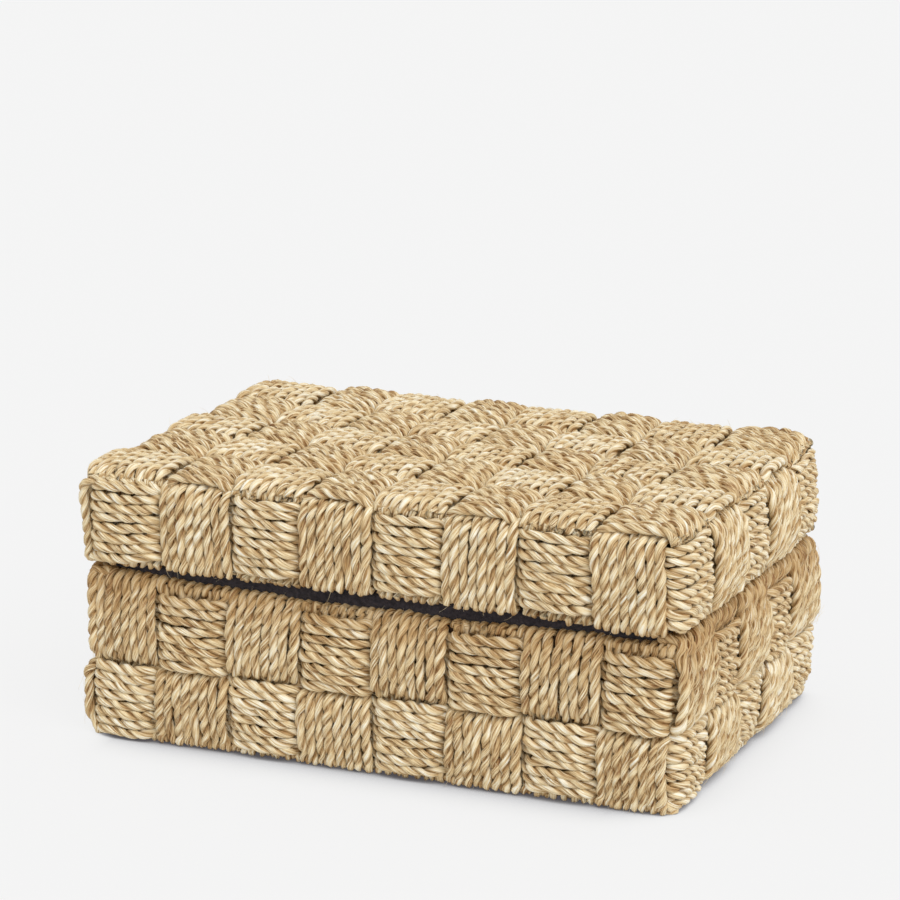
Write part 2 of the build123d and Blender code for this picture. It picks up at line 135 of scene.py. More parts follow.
# How far in from a corner the outermost ropes stand.
corner_inset = 1.4  # on a short side, where they bound the corner
lid_inset, lower_inset, upper_inset = 10.0, 6.5, 4.0  # where a hoop comes round the corner
stub_inset = 5.0
rim_inset = 3.2  # at the rim above a hoop
mitre_inset = 6.0  # where a short side's ropes turn in at the rim
top_inset = 2.5  # on the lid's top
inset_blend = 9  # half the length over which one passes into the next
inset_step = 2  # further in than the corner's, the ropes are rounded off too
corner_round = 8.0  # rounding of the outermost ropes at a corner
beside_corner = 20  # from the box's side to the edge of an outermost band, at most

# Hoops near the corners.
short_side = (-12, 6)  # where a hoop passes on to a short side, and how softly
lid_sag, lower_sag = 2.4, 2.2  # how far the lowest ropes sag at the front's corners
sag_front, sag_length = (-20, 40), (-38, 18)  # where, by -y and by -distance to a corner

# The box is hand-made: its walls flare a little and its seam is not quite level.
wall_heights = (0.0, 30.0, 62.0, 86.0, 105.0, 128.0)
wall_leans = (-1.0, 0.0, 1.5, 2.2, 2.2, 0.4)  # how far the right wall leans out there
lean_start = (60, 90)  # x at which it starts to, and over what width
back_draw = 2.2  # how much less it leans at the back
back_draw_start = (35, 20)  # above this height
front_draw = 1.0  # how far the base's front draws in under the lid
draw_start = (50, 45)  # from the middle to the front or back
under_lid_start = (58, 24)  # height at which the base's front draws in under the lid and its painted shade starts
crest_slack = (0.5, 1)  # points so far above the crest are still the base's: middles, surfaces
rim_places = (-150, -138, -112, -92, -55, -37, -3, 18, 40, 72, 91, 110, 118, 141, 147, 151)
rim_drops = (0.6, 0.8, 3.2, 4.3, 5.1, 6.3, 5.7, 5.2, 6.3, 5.4, 4.4, 4.2, 5.3, 4.5, 2.0, 0.8)
hem_places = (-128, -92, -55, -18, 18, 55, 92, 112, 130, 145)  # of the lid's lower front edge
hem_lifts = (-1.2, -2.0, -2.1, -1.4, -1.7, -2.1, -2.7, -3.5, -4.2, -3.8)
side_hem = -1.4  # how much lower the lid's right edge lies
left_hem = -0.8
side_drop = 0.9  # and how much lower the base's rim lies under them
hinge_middles = (-75.0, 75.0)
leaf_half = 17.0
leaf_lift = 1.1  # the lid's rim ropes lie this much higher over a hinge leaf
leaf_reach = 15.8  # how far in a hinge leaf reaches
leaf_overlap = 1.0  # of the felt beside it

# Noise along a rope: strength and wavelength.
depth_noise = (0.25, 30)
across_noise = (0.42, 36)
twist_noise = (0.6, 40)
thick_noise = (0.1, 15)
loose_noise = (0.14, 22)
ridge_noise = (0.5, 9)
tone_noise = (0.5, 30)
seam_length = 20  # it fades out towards the seam of a closed rope
drift_size = 0.3  # and the same for all ropes of a band
drift_waves = (50, 110)
wave_spread = (0.6, 1.8)
phases = (0, 6.3)
ridge_phases = (0, 6)

# A rope is two yarns twisted about each other.
turn_length = 16.2  # rope to one full turn
turn_spread = (0.88, 1.12)
size_spread = 0.07
size_limits = (0.86, 1.14)
thick_spread = (-0.06, 0.06)
yarn_offset = 1.17
yarn_radial = 1.40
yarn_tangential = 1.86
ridges = ((5, 0.035), (3, 0.045))  # number round a yarn and height
fibre_share = 0.5  # how far the fibres turn with their yarn
fibre_reach = 900  # of the fibre coordinate, from which each yarn takes a part
fibre_radius = 1.5
# Painted shade on each yarn's side that faces the other yarn: middle and depth, and a limit that
# also caps the rim's painted shade.
painted_shade_middle, painted_shade_depth = 0.5, 0.75
painted_shade_limit = 1.2

# Tone: paler above 0 and browner below.
yarn_tone = 0.4  # spread of the ropes' tones, and of a rope's yarns
band_spread = 0.3
family_tones = {  # of some bands, low down and high up
    "lid_column": (-0.4, 0.6),
    "lid_row": (0.2, -0.8),
    "lid_hoop": (-0.1, -0.1),
    "base_front": (-0.4, -0.4),
    "base_right": (0.8, -0.8),
    "base_upper_hoop": (-0.4, -0.4),
    "base_lower_hoop": (1.1, 1.1),
}
tone_change = (45.0, 122.0)  # height at which the tone changes on the base and on the lid
tone_length = 10
painted_rim_shade = 0.85  # strength of the painted shade of the lid on the ropes at the base's rim

# Loose fibres, some drawn from a range.
hairs_per_band, hair_steps = 90, 6
hair_ends = (4, 5)  # stations left free at the ends of a rope
hair_length, hair_lift, hair_sway = (4, 10), (0.02, 0.16), (-0.45, 0.45)
hair_radius, hair_taper = (0.06, 0.1), 0.6
hair_offset, hair_root, hair_arch = (-1.2, 1.2), 1.9, 2.2
hair_tone = (1.2, 0.6)

# Felt.
felt_top = base_felt[1] - 0.1  # clear of the closed lid
felt_steps, arc_stations = (110, 74), 7  # stations along the long and short sides, and a corner
felt_uneven, felt_waves = 0.07, (31, 53, 89, 131)
felt_edge = 16  # depth of the outer edges, which are uneven
rim_zone, rim_overlap = 20, 1.0  # depth of the zone beside a wall that follows its rim
fuzz_count = 2600
fuzz_length, fuzz_spread, fuzz_out, fuzz_curl = (0.4, 1.3), 0.5, 0.8, 0.4
fuzz_radius, fuzz_taper = 0.07, 0.5

# Spacing of the stations along a rope, and points round a yarn.
step_seen, step_hidden, ring_points = 1.15, 3.6, 14


def smooth(t):
    """From 0 to 1 and level at both ends."""
    t = np.clip(t, 0, 1)
    return t * t * (3 - 2 * t)


def grown(value, start, reach):
    """0 up to a start and 1 from a reach beyond it."""
    return smooth((value - start) / reach)


def wander(rng, s, wavelength, waves=4):
    """Smooth noise along a length, about from -1 to 1."""
    total = np.zeros_like(s)
    for _ in range(waves):
        wave = wavelength * rng.uniform(*wave_spread)
        total += np.sin(2 * np.pi * s / wave + rng.uniform(0, 2 * np.pi))
    return total / math.sqrt(waves)


def lengths(points):
    """Length along a path at each of its points."""
    return np.concatenate([[0], np.cumsum(np.linalg.norm(np.diff(points, axis=0), axis=1))])


def placed(wanted, s, points):
    """Points at wanted lengths along a path."""
    return np.stack([np.interp(wanted, s, line) for line in points.T], 1)


def seam_fade(s, total, closed):
    """0 at the seam of a closed line, so that it closes, and 1 away from it."""
    return smooth(np.minimum(s, total - s) / seam_length) if closed else 1.0


def lean(points):
    """Points of the weave, moved to where the flared walls have them."""
    moved = points.copy()
    x, y, z = points.T
    draw = back_draw * grown(y, *draw_start) * grown(z, *back_draw_start)
    moved[:, 0] += grown(x, *lean_start) * (np.interp(z, wall_heights, wall_leans) - draw)
    drawn = grown(z, *under_lid_start) * (z < base_crest + crest_slack[0])
    moved[:, 1] += front_draw * drawn * grown(-y, *draw_start)
    return moved


# ---------------- centre lines
class Trace:
    """A rope's centre line in a plane: corner points, sampled evenly and then smoothed.

    Places along it are lengths along the corner points. It keeps the stretches where its
    band lies under and over the bands that cross it, and where the corner ropes fan out.
    """

    step = 0.25

    def __init__(self, corners, closed=False, side=1):
        corners = np.array(corners, float)
        ends = np.vstack([corners, corners[:1]]) if closed else corners
        self.corners = lengths(ends)
        self.length = self.corners[-1]
        self.closed = closed
        number = int(self.length / self.step)
        self.t = np.linspace(0, self.length, number, endpoint=not closed)
        self.raw = placed(self.t, self.corners, ends)
        reach = int(4 * bend_softness / self.step)
        kernel = np.exp(-0.5 * (np.arange(-reach, reach + 1) * self.step / bend_softness) ** 2)
        kernel /= kernel.sum()
        if closed:
            padded = np.vstack([self.raw[-reach:], self.raw, self.raw[:reach]])
        else:
            before = 2 * self.raw[0] - self.raw[reach:0:-1]
            after = 2 * self.raw[-1] - self.raw[-2 : -reach - 2 : -1]
            padded = np.vstack([before, self.raw, after])
        self.points = np.stack([np.convolve(padded[:, i], kernel, "valid") for i in (0, 1)], 1)
        tangent = tangents(self.points, closed)
        self.inward = side * np.stack([tangent[:, 1], -tangent[:, 0]], 1)
        self.under, self.over = [], []  # over: start, end and pillow
        self.insets = []  # start, end and inset of the band's edge from a corner beside it
        self.quiet = (-1e3, 1e6)  # outside this stretch the ropes keep to the corner points
        self.shifts = (-self.length, 0, self.length) if closed else (0,)

    def lay(self, start, end, on_top, rise):
        """Note a stretch where the band lies on top, and how far it stands out, or under."""
        if on_top:
            self.over.append((start, end, rise))
        else:
            self.under.append((start, end))

    def when(self, axis, value, after):
        """First place after another one at which a coordinate passes a value."""
        rest = np.where(self.t >= after)[0]
        gap = self.raw[rest, axis] - value
        passed = np.where(gap[:-1] * gap[1:] <= 0)[0]
        return float(self.t[rest[passed[0]]])

    def windows(self, stretches, grow, soft):
        """1 inside the stretches, made longer at both ends, and 0 outside."""
        found = np.zeros_like(self.t)
        for start, end in stretches:
            for shift in self.shifts:
                rise = smooth((self.t - (start + shift - grow)) / soft + 0.5)
                fall = smooth(((end + shift + grow) - self.t) / soft + 0.5)
                found = np.maximum(found, np.minimum(rise, fall))
        return found

    def swell(self):
        """Depth that the rounded shape of the cells takes off or adds."""
        depth = np.zeros_like(self.t)
        for start, end, rise in self.over:
            for shift in self.shifts:
                place = (self.t - start - shift) / (end - start) * 2 - 1
                depth -= rise * np.clip(1 - place**2, 0, 1)
                depth += pillow_ends * np.exp(-(((np.abs(place) - 1) / end_width) ** 2))
        return depth

    def edge_inset(self):
        """Distance of the band's edge from a corner beside it, along the line."""
        inset = np.full_like(self.t, self.insets[0][2])
        for start, end, value in self.insets:
            inset[(self.t >= start) & (self.t < end)] = value
        reach = int(inset_blend / self.step)
        kernel = np.hanning(2 * reach + 1)
        return np.convolve(np.pad(inset, reach, "edge"), kernel / kernel.sum(), "valid")

    def calm(self):
        """1 where the ropes may leave the corner points, and 0 at the turned ends."""
        start, end = self.quiet
        return smooth((self.t - start) / calm_length) * smooth((end - self.t) / calm_length)


def tangents(points, closed):
    """Unit tangents along a path."""
    if closed:
        tangent = np.roll(points, -1, 0) - np.roll(points, 1, 0)
    else:
        tangent = np.gradient(points, axis=0)
    return tangent / np.linalg.norm(tangent, axis=1)[:, None]


def crossing_points(place, at, before, after):
    """Two corner points where a rope goes from one level to another."""
    return [place(at - dive_half, before), place(at + dive_half, after)]


def weave_points(place, lines, over):
    """Corner points where a band changes level, at the lines between its cells."""
    points = []
    for line, now, after in zip(lines, over, over[1:]):
        levels = (on_level, under_level) if now else (under_level, on_level)
        points += crossing_points(place, line + (dive_offset if after else -dive_offset), *levels)
    return points


def upright_trace(side, low_under, crest, bend, foot):
    """A base upright, as depth and height."""

    def at(height, depth):
        return (depth, height)

    low_run = floor_level + side_foot_rise * foot / side_foot_bend
    points = [at(low_run, turned_in)]
    if low_under:
        points += [at(low_run, stub_depth + foot / 2), at(on_level + stub_rise, under_level)]
        points += crossing_points(at, lower_hoop[1] + dive_offset, under_level, on_level)
        rim = on_level
    else:
        points += [at(low_run, on_level + foot), at(low_run + foot, on_level)]
        points += crossing_points(at, upper_hoop[0] - dive_offset, on_level, under_level)
        points += crossing_points(at, upper_hoop[1] + dive_offset / 2, under_level, hidden_crest)
        rim = hidden_crest
        bend = hidden_bend if bend == crest_bend else bend
    top = crest - on_level
    points += [at(top - bend, rim), at(top, rim + bend), at(top, turned_in)]
    line = Trace(points)
    low = line.when(1, low_run + past_foot, past_start)
    split = line.when(1, lower_hoop[1], low)
    high = line.when(1, upper_hoop[1], split)
    turn = line.when(1, top - before_rim, high)
    rise = side_pillows.get(side, pillow)
    line.lay(low, split, not low_under, rise)
    line.lay(split, high, low_under, rise)
    over = corner_inset
    if side in ("front", "back"):
        over = upper_inset if low_under else lower_inset
    mitred = low_under and over == corner_inset
    line.insets = [
        (0, split, stub_inset if low_under else over),
        (split, turn - before_mitre, over if low_under else rim_inset),
        (turn - before_mitre, line.length + 1, mitre_inset if mitred else over),
    ]
    line.quiet = (low - quiet_margin, turn + quiet_margin)
    return line


def lid_trace(half, crossing, over_first, bends, lifts):
    """A band that runs up one side, over the lid and down the other, as place and height.

    Where a band lies on top in its outermost cell of the lid's top, it comes up from under
    the hoop, and otherwise it hangs down over the hoop.
    """
    over = [over_first ^ (i % 2 == 1) for i in range(len(crossing))]
    long_side = half == half_depth  # its legs hang on the long sides

    def end_points(sign, from_under, bend, lift):
        """From the turned end up to the fold."""

        def at(depth, height):
            return (sign * (half - depth), height)

        low = lid_bottom + on_level + lift
        if from_under:
            stub = stub_depth + max(0, bend - side_foot_bend)
            fold = on_level + fold_sink
            points = [at(stub, low), at(under_level, low + stub_rise)]
            points += [at(under_level, lid_hoop[1] - come_out[0])]
            points += [at(fold, lid_hoop[1] + come_out[1])]
            points += [at(fold, box_top - on_level - top_bend)]
            points += [at(fold + top_bend, box_top - on_level)]
        else:
            points = [at(on_level + bend, low), at(on_level, low + bend)]
            points += [at(on_level, box_top - under_level - top_bend)]
            points += [at(on_level + top_bend, box_top - under_level)]
        if lift < 0:
            inside = lid_bottom + on_level + hem_rise
            points = [at(on_level + hem_slope[1], low), *points]
            return [at(turned_in, inside), at(on_level + hem_slope[0], inside), *points]
        return [at(turned_in, low), *points]

    def on_lid(place, depth):
        return (place, box_top - depth)

    points = end_points(-1, over[0], bends[0], lifts[0])
    points += weave_points(on_lid, [end for _, end in crossing], over)
    points += end_points(1, over[-1], bends[1], lifts[1])[::-1]
    line = Trace(points)
    foot = [lid_bottom + on_level + lift + past_hem for lift in lifts]
    near_low = line.when(1, foot[0], past_start)
    near_high = line.when(1, lid_hoop[1], near_low)
    inner = [line.when(0, start, near_high) for start, _ in crossing[1:]]
    far_high = line.when(1, lid_hoop[1] - before_rim, inner[-1] + past_cell)
    far_low = line.when(1, foot[1], far_high)
    near_rise, far_rise = (pillow, pillow) if long_side else side_pillows.values()
    line.lay(near_low, near_high, not over[0], near_rise)
    line.lay(far_high, far_low, not over[-1], far_rise)
    places = [near_high + past_fold, *inner, far_high - past_fold]
    for start, end, on_top in zip(places, places[1:], over):
        line.lay(start, end, on_top, pillow)
    hanging = lid_inset if long_side else corner_inset
    line.insets = [
        (0, near_high, stub_inset if over[0] else hanging),
        (near_high, far_high, top_inset),
        (far_high, line.length + 1, stub_inset if over[-1] else hanging),
    ]
    line.quiet = (near_low - quiet_margin, far_low + quiet_margin)
    return line


def corner_points(long_over, inset):
    """A hoop's way round a corner, from the side where it lies on top to the other.

    Each point is a distance from the other side's face and a depth under this one's.
    """
    if long_over:
        return [(9.0, on_level), (6.9, 2.9), (6.9, 9.0)]
    spare = lid_inset - inset
    leaves, turns = 8.0 + 0.3 * spare, 2.8 + 0.6 * spare
    turn_depth, comes_out = 2.0 + 0.6 * inset, inset + 3.5
    return [(leaves, on_level), (turns, turn_depth), (under_level, comes_out)]


def hoop_trace(sides, parity, inset):
    """A closed band round all four sides, seen from above."""

    def over(first_cell, i):
        return (first_cell + i + parity) % 2 == 0

    points, turns = [], []
    for number, (at, half, lines, first_cell) in enumerate(sides):
        before, before_half = sides[number - 1][:2]
        if over(first_cell, 0):
            way = corner_points(half == half_width, inset)[::-1]
            turn = [at(depth - half, across) for depth, across in way]
            turns.append((len(points), len(points) + 1))
        else:
            way = corner_points(before_half == half_width, inset)
            turn = [before(before_half - depth, across) for depth, across in way]
            turns.append((len(points) + 1, len(points) + 2))
        points += turn
        cells_over = [over(first_cell, i) for i in range(len(lines) - 1)]
        points += weave_points(at, lines[1:-1], cells_over)
    trace = Trace(points, closed=True, side=-1)
    marks = [sum(trace.corners[i] for i in pair) / 2 for pair in turns]
    marks.append(marks[0] + trace.length)
    for number, (at, _, lines, first_cell) in enumerate(sides):
        axis = 0 if at(1, 0)[0] != at(0, 0)[0] else 1
        places = [marks[number]]
        for line in lines[1:-1]:
            places.append(trace.when(axis, at(line, 0)[axis], places[-1]))
        places.append(marks[number + 1])
        for i, (start, end) in enumerate(zip(places, places[1:])):
            trace.lay(start, end, over(first_cell, i), pillow)
    trace.turns = marks[:-1]
    return trace


# ---------------- ropes
class Band:
    """Parallel ropes that follow the same kind of centre line."""

    def __init__(self, name, body, axes, edges, trace, origin=(0, 0, 0), reach=None, sag=0.0):
        self.name, self.body = name, body
        self.axes = [np.array(a, float) for a in axes]  # the trace's two axes, and across it
        self.edges = edges
        self.strands = max(least_strands, round((edges[1] - edges[0]) / rope_pitch))
        self.sag = sag  # how far a hoop's lowest ropes sag at the corners
        self.trace = trace  # gives the centre line for a place across the band
        self.origin = np.array(origin, float)
        self.reach = reach  # half the size of the box across the band, for one beside a corner


def noise(rng, s, kind, fade):
    """Noise of a kind along a length."""
    strength, wavelength = kind
    return strength * fade * wander(rng, s, wavelength)


def rope_path(band, n, drift, rng):
    """Centre line of one rope of a band, and how hidden each point is."""
    low, high = band.edges
    place = (n + 0.5) / band.strands
    share = 2 * place - 1
    level = low + place * (high - low)
    line = band.trace(level)
    t = line.t
    drawn = line.windows(line.under, 0.0, fan_length)
    spacing = under_spacing * least_strands / band.strands
    narrow = (low + high) / 2 + (n - (band.strands - 1) / 2) * spacing
    across = level + (narrow - level) * drawn
    depth = line.swell() + side_sink * abs(share) ** 3 * (1 - drawn)
    if band.reach:
        # The outermost bands follow the corner beside them.
        for sign in (-1, 1):
            edge = high if sign > 0 else -low
            if band.reach - edge < beside_corner:
                inset = line.edge_inset()
                moved = (band.reach - inset - edge) * (1 + sign * share) / 2
                across = across + sign * moved * (1 - drawn)
                near = np.clip(corner_round - (band.reach - sign * across), 0, corner_round)
                rounding = corner_round - np.sqrt(corner_round**2 - near**2)
                depth = depth + rounding * grown(inset, corner_inset, inset_step)
    depth = depth * line.calm()
    if line.closed:
        # The hoops lie a little deeper on the short sides.
        x, y = line.points.T
        on_side = grown(abs(x) - half_width, *short_side)
        depth = depth + side_hoop_sink * on_side
        # Near the corners the lowest ropes of a hoop sag to the edge.
        gap = np.abs(t[:, None] - np.array([*line.turns, line.length + line.turns[0]])).min(1)
        beside = grown(-y, *sag_front)
        across = across - band.sag * (1 - place) * beside * grown(-gap, *sag_length)
        if band.edges == lower_hoop:
            # On the short sides the lowest ropes are tucked under.
            tuck = on_side * grown(y + half_depth, *tuck_start)
            tuck *= (1 - place) ** 3
            across = across + side_tuck[0] * tuck
            depth = depth + side_tuck[1] * tuck
    fade = seam_fade(t, line.length, line.closed)
    strength, wavelength = depth_noise
    depth = depth + strength * fade * line.calm() * wander(rng, t, wavelength)
    across = across + noise(rng, t, across_noise, fade) + fade * drift(t)
    flat = line.points + line.inward * depth[:, None]
    points = (
        band.origin
        + flat[:, :1] * band.axes[0]
        + flat[:, 1:] * band.axes[1]
        + across[:, None] * band.axes[2]
    )
    return lean(points), line.windows(line.under, -covered[0], covered[1]), line


def resample(points, hidden, closed):
    """Points spaced closely where the rope shows and wider where it is covered."""
    if closed:
        points = np.vstack([points, points[:1]])
        hidden = np.append(hidden, hidden[0])
    steps = np.linalg.norm(np.diff(points, axis=0), axis=1)
    s = lengths(points)
    density = 1 / (step_seen + (step_hidden - step_seen) * hidden)
    count = np.concatenate([[0], np.cumsum((density[1:] + density[:-1]) / 2 * steps)])
    number = int(math.ceil(count[-1]))
    wanted = np.interp(np.linspace(0, count[-1], number + 1), count, s)
    if closed:
        wanted = wanted[:-1]
    return placed(wanted, s, points), wanted, s[-1]


def put(name, data):
    made = bpy.data.objects.new(name, data)
    bpy.context.scene.collection.objects.link(made)
    return made


class MeshData:
    """Vertices, faces and attributes of one piece, gathered tube by tube."""

    def __init__(self):
        self.verts, self.fibre, self.tone, self.groove = [], [], [], []
        self.quads, self.caps = [], []
        self.count = 0

    def tube(self, rings, closed=False, fibre=None, tone=0.0, groove=0.0):
        """Add a tube: rings is (n, m, 3)."""
        n, m = rings.shape[:2]
        index = np.arange(n * m).reshape(n, m) + self.count
        first = index if closed else index[:-1]
        second = np.roll(index, -1, 0) if closed else index[1:]
        quads = np.stack([first, np.roll(first, -1, 1), np.roll(second, -1, 1), second], 2)
        self.quads.append(quads.reshape(-1, 4))
        if not closed:
            self.caps += [index[0][::-1], index[-1]]
        self.verts.append(rings.reshape(-1, 3))
        self.fibre.append((np.zeros_like(rings) if fibre is None else fibre).reshape(-1, 3))
        self.tone.append(np.broadcast_to(tone, (n, m)).reshape(-1))
        self.groove.append(np.broadcast_to(groove, (n, m)).reshape(-1))
        self.count += n * m

    def make(self, name, material):
        """A Blender object in metres."""
        verts = np.vstack(self.verts) * MM
        quads = np.vstack(self.quads)
        mesh = bpy.data.meshes.new(name)
        mesh.vertices.add(len(verts))
        mesh.vertices.foreach_set("co", verts.astype(np.float32).ravel())
        corners = np.concatenate([quads.ravel(), *self.caps])
        sizes = np.concatenate([np.full(len(quads), 4), [len(c) for c in self.caps]]).astype(int)
        starts = np.concatenate([[0], np.cumsum(sizes)[:-1]])
        mesh.loops.add(len(corners))
        mesh.loops.foreach_set("vertex_index", corners.astype(np.int32))
        mesh.polygons.add(len(sizes))
        mesh.polygons.foreach_set("loop_start", starts.astype(np.int32))
        mesh.polygons.foreach_set("use_smooth", np.ones(len(sizes), bool))
        mesh.update(calc_edges=True)
        for label, values in (("fibre", self.fibre), ("tone", self.tone), ("groove", self.groove)):
            values = np.concatenate(values).astype(np.float32)
            kind, field = ("FLOAT_VECTOR", "vector") if values.ndim > 1 else ("FLOAT", "value")
            mesh.attributes.new(label, kind, "POINT").data.foreach_set(field, values.ravel())
        mesh.materials.append(material)
        return put(name, mesh)


def lay_rope(data, points, s, total, across, closed, band_tone, rng):
    """Two yarns twisted about a centre line."""
    tangent = tangents(points, closed)
    binormal = across - tangent * (tangent @ across)[:, None]  # across the band
    binormal /= np.linalg.norm(binormal, axis=1)[:, None]
    normal = np.cross(binormal, tangent)  # away from the band's face
    turns = total / (turn_length * rng.uniform(*turn_spread))
    if closed:
        turns = round(turns)
    fade = seam_fade(s, total, closed)
    twist = 2 * np.pi * turns * s / total + rng.uniform(0, 2 * np.pi)
    twist = twist + noise(rng, s, twist_noise, fade)
    size = np.clip(rng.normal(1.0, size_spread), *size_limits)
    rope_tone = rng.normal(0, yarn_tone)
    half_turns = round(turns * fibre_share) / turns if closed else fibre_share
    angle = np.linspace(0, 2 * np.pi, ring_points, endpoint=False)
    for yarn in range(2):
        phi = twist + yarn * np.pi
        radial = normal * np.cos(phi)[:, None] + binormal * np.sin(phi)[:, None]
        tangential = -normal * np.sin(phi)[:, None] + binormal * np.cos(phi)[:, None]
        thick = size * (1 + rng.uniform(*thick_spread) + noise(rng, s, thick_noise, fade))
        loose = 1 + noise(rng, s, loose_noise, fade)
        a = (yarn_radial * thick)[:, None, None]
        b = (yarn_tangential * thick)[:, None, None]
        # The fibres run along the yarn and turn only part of the way with it.
        own = angle[None, :] + (half_turns * phi)[:, None]
        ridge = sum(high * np.cos(n * own + rng.uniform(*ridge_phases)) for n, high in ridges)
        worn = 1 + noise(rng, s, ridge_noise, fade)
        ridge = 1 + ridge[:, :, None] * worn[:, None, None]
        rings = (
            (points + radial * (yarn_offset * size * loose)[:, None])[:, None, :]
            + a * ridge * np.cos(angle)[None, :, None] * radial[:, None, :]
            + b * ridge * np.sin(angle)[None, :, None] * tangential[:, None, :]
        )
        start = rng.uniform(0, fibre_reach)
        along = np.broadcast_to((s + start)[:, None], own.shape)
        fibre = np.stack([along, fibre_radius * np.cos(own), fibre_radius * np.sin(own)], 2)
        tone = rope_tone + rng.normal(0, yarn_tone) + noise(rng, s, tone_noise, fade)
        change = tone_change[int(points[0, 2] > base_crest)]
        place = grown(points[:, 2], change, tone_length)
        tone = tone + band_tone[0] + (band_tone[1] - band_tone[0]) * place
        # Painted shade: each yarn is darker on the side that faces the other yarn.
        groove = np.clip(painted_shade_middle - painted_shade_depth * np.cos(angle), 0, 1)
        # Painted shade: the ropes at the base's rim, under the lid's edge, are darkened as if in
        # its shadow.
        z = rings[:, :, 2]
        rim_shade_mask = painted_rim_shade * grown(z, *under_lid_start) * (z < base_crest + crest_slack[1])
        rings[:, :, 2] = np.maximum(z, floor_touch)
        groove = np.minimum(groove[None, :] + rim_shade_mask, painted_shade_limit)
        data.tube(rings, closed, fibre, tone[:, None], groove)


def lay_hairs(data, paths, across, rng):
    """Loose fibres that stand off the ropes where they show."""
    turn = np.linspace(0, 2 * np.pi, 3, endpoint=False)
    side = Vector(across)
    for _ in range(hairs_per_band):
        points, line = paths[rng.integers(len(paths))]
        start, end, _ = line.over[rng.integers(len(line.over))]
        root = int(np.searchsorted(line.t, rng.uniform(start, end)))
        root = min(max(root, hair_ends[0]), len(points) - hair_ends[1])
        tangent = Vector(points[root + 2] - points[root - 2]).normalized()
        out = side.cross(tangent).normalized()
        length = rng.uniform(*hair_length)
        lift, sway = rng.uniform(*hair_lift), rng.uniform(*hair_sway)
        direction = 1 if rng.random() < 0.5 else -1
        radius = rng.uniform(*hair_radius)
        offset = rng.uniform(*hair_offset)
        rings = []
        for step in np.linspace(0, 1, hair_steps):
            middle = (
                Vector(points[root])
                + tangent * (direction * length * step)
                + out * (hair_root + length * lift * math.sin(hair_arch * step))
                + side * (offset + length * sway * step * step)
            )
            thin = radius * (1 - hair_taper * step)
            rings.append(
                [middle + out * (thin * math.cos(q)) + side * (thin * math.sin(q)) for q in turn]
            )
        rings = np.array(rings)
        rings[:, :, 2] = np.maximum(rings[:, :, 2], floor_touch)
        data.tube(rings if direction > 0 else rings[:, ::-1], tone=rng.normal(*hair_tone))


def make_band(band, material, rng):
    """All ropes of one band, in one piece or two."""
    waves = [(rng.uniform(*drift_waves), rng.uniform(*phases)) for _ in range(2)]

    def drift(t):
        return sum(drift_size * np.sin(2 * np.pi * t / wave + phase) for wave, phase in waves)

    band_tone = rng.normal(0, band_spread) + np.zeros(2)
    for family, tones in family_tones.items():
        if band.name.startswith(family):
            band_tone = band_tone + tones
    across = band.axes[2]
    halves = 2 if "hoop" in band.name else 1
    for half in range(halves):
        data, paths = MeshData(), []
        for n in range(half * band.strands // halves, (half + 1) * band.strands // halves):
            path, hidden, line = rope_path(band, n, drift, rng)
            points, s, total = resample(path, hidden, line.closed)
            lay_rope(data, points, s, total, across, line.closed, band_tone, rng)
            paths.append((path, line))
        lay_hairs(data, paths, across, rng)
        ending = f"_{half + 1}" if halves > 1 else ""
        piece = data.make(f"{band.name}_ropes{ending}", material)
        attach(piece, band.body)
        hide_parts(band.name)


# ---------------- weave
X, Y, Z = (1, 0, 0), (0, 1, 0), (0, 0, 1)


# Where a place along a side and a depth under it lie, seen from above.
def at_front(place, depth):
    return (place, depth - half_depth)


def at_right(place, depth):
    return (half_width - depth, place)


def at_back(place, depth):
    return (-place, half_depth - depth)


def at_left(place, depth):
    return (depth - half_width, -place)


def side_list(columns, rows):
    """The sides in the order in which a hoop runs: place, half size, grid lines, first cell."""
    across = [columns[0][0], *(end for _, end in columns)]
    along = [rows[0][0], *(end for _, end in rows)]
    return [
        (at_front, half_width, across, 0),
        (at_right, half_depth, along, len(columns)),
        (at_back, half_width, across, len(columns) + len(rows)),
        (at_left, half_depth, along, 2 * len(columns) + len(rows)),
    ]


def lid_column(k):
    """A band over the lid from front to back."""

    def trace(x):
        near_leaf = any(abs(x - middle) < leaf_half for middle in hinge_middles)
        lifts = (float(np.interp(x, hem_places, hem_lifts)), leaf_lift if near_leaf else 0.0)
        return lid_trace(half_depth, lid_rows, k % 2 == 0, (foot_bend, hinge_bend), lifts)

    name = f"lid_column_{k + 1}"
    return Band(name, "lid", (Y, Z, X), lid_columns[k], trace, reach=half_width)


def lid_row(j):
    """A band over the lid from left to right."""
    hems = (left_hem, side_hem)
    line = lid_trace(half_width, lid_columns, j % 2 == 1, (foot_bend, foot_bend), hems)
    name = f"lid_row_{j + 1}"
    return Band(name, "lid", (X, Z, Y), lid_rows[j], lambda y: line, reach=half_depth)


def base_uprights():
    """The base's uprights, side by side."""
    made, first_cell = [], 0
    for name, inward, across in (
        ("front", Y, X),
        ("right", (-1, 0, 0), Y),
        ("back", (0, -1, 0), (-1, 0, 0)),
        ("left", X, (0, -1, 0)),
    ):
        half, reach, grid, foot = half_width, half_depth, base_rows, side_foot_bend
        if name in ("front", "back"):
            half, reach, grid, foot = half_depth, half_width, base_columns, foot_bend
        origin = tuple(-half * c for c in inward)
        bend = hinge_bend if name == "back" else crest_bend
        for i, cell in enumerate(grid):
            low_under = (first_cell + i) % 2 == 0

            def trace(place, side=name, low_under=low_under, bend=bend, foot=foot):
                drop = 0.0 if side == "back" else side_drop
                if side == "front":
                    drop = float(np.interp(place, rim_places, rim_drops))
                if side == "right":
                    foot = foot * grown(place + half_depth, *side_foot_start)
                return upright_trace(side, low_under, base_crest - drop, bend, foot)

            node = f"base_{name}_upright_{i + 1}"
            made.append(Band(node, "base", (inward, Z, across), cell, trace, origin, reach))
        first_cell += len(grid)
    return made


